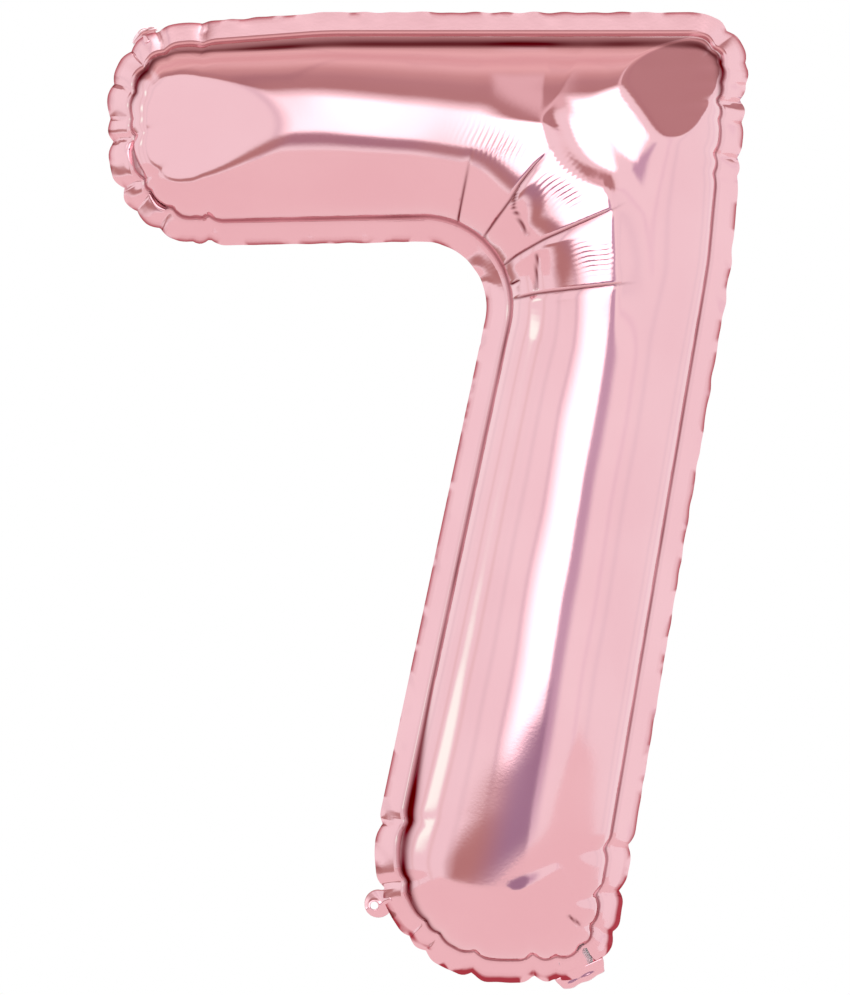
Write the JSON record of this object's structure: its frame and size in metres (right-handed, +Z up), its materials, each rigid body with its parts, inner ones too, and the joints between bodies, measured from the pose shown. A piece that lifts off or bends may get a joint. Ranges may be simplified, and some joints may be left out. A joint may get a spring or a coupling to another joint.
{
  "type": "foil number balloon",
  "caption": "Inflated rose-gold foil balloon in the shape of the digit seven, with a sealed pleated edge, round hanging tabs and a folded valve neck.",
  "frame": {"origin": "middle of the punched hole in the upper hanging tab, where the hanging ribbon goes through", "axes": "+Z up along the digit's height, +X to the digit's right as read from the front, +Y from the front film to the back film"},
  "size_m": [0.2381, 0.0779, 0.363],
  "materials": {
    "rose_gold_foil": "polished",
    "rose_gold_foil_back": "polished",
    "clear_valve_film": "satin"
  },
  "bodies": {
    "balloon": {"front_panel": "rose_gold_foil", "back_panel": "rose_gold_foil_back", "valve_film_front": "clear_valve_film", "valve_film_back": "clear_valve_film"},
    "neck": {"neck_film_front": "rose_gold_foil", "neck_film_back": "rose_gold_foil_back", "valve_mouth_front": "clear_valve_film", "valve_mouth_back": "clear_valve_film"},
    "upper_tab": {"upper_tab_front": "rose_gold_foil", "upper_tab_back": "rose_gold_foil_back"},
    "lower_tab": {"lower_tab_front": "rose_gold_foil", "lower_tab_back": "rose_gold_foil_back"}
  },
  "joints": [
    {"name": "neck_fold", "type": "hinge", "parent": "balloon", "child": "neck", "pos_m": [0.164, -0.00291, -0.35184], "axis": [-0.9075, 0, -0.42], "range_deg": [0, 200]},
    {"name": "upper_tab_fold", "type": "hinge", "parent": "balloon", "child": "upper_tab", "pos_m": [0.00055, -0.00291, -0.00091], "axis": [0.8541, 0, 0.5201], "range_deg": [-20, 160]},
    {"name": "lower_tab_fold", "type": "hinge", "parent": "balloon", "child": "lower_tab", "pos_m": [0.08902, -0.00291, -0.32328], "axis": [-0.3903, 0, 0.9207], "range_deg": [-90, 90]}
  ]
}
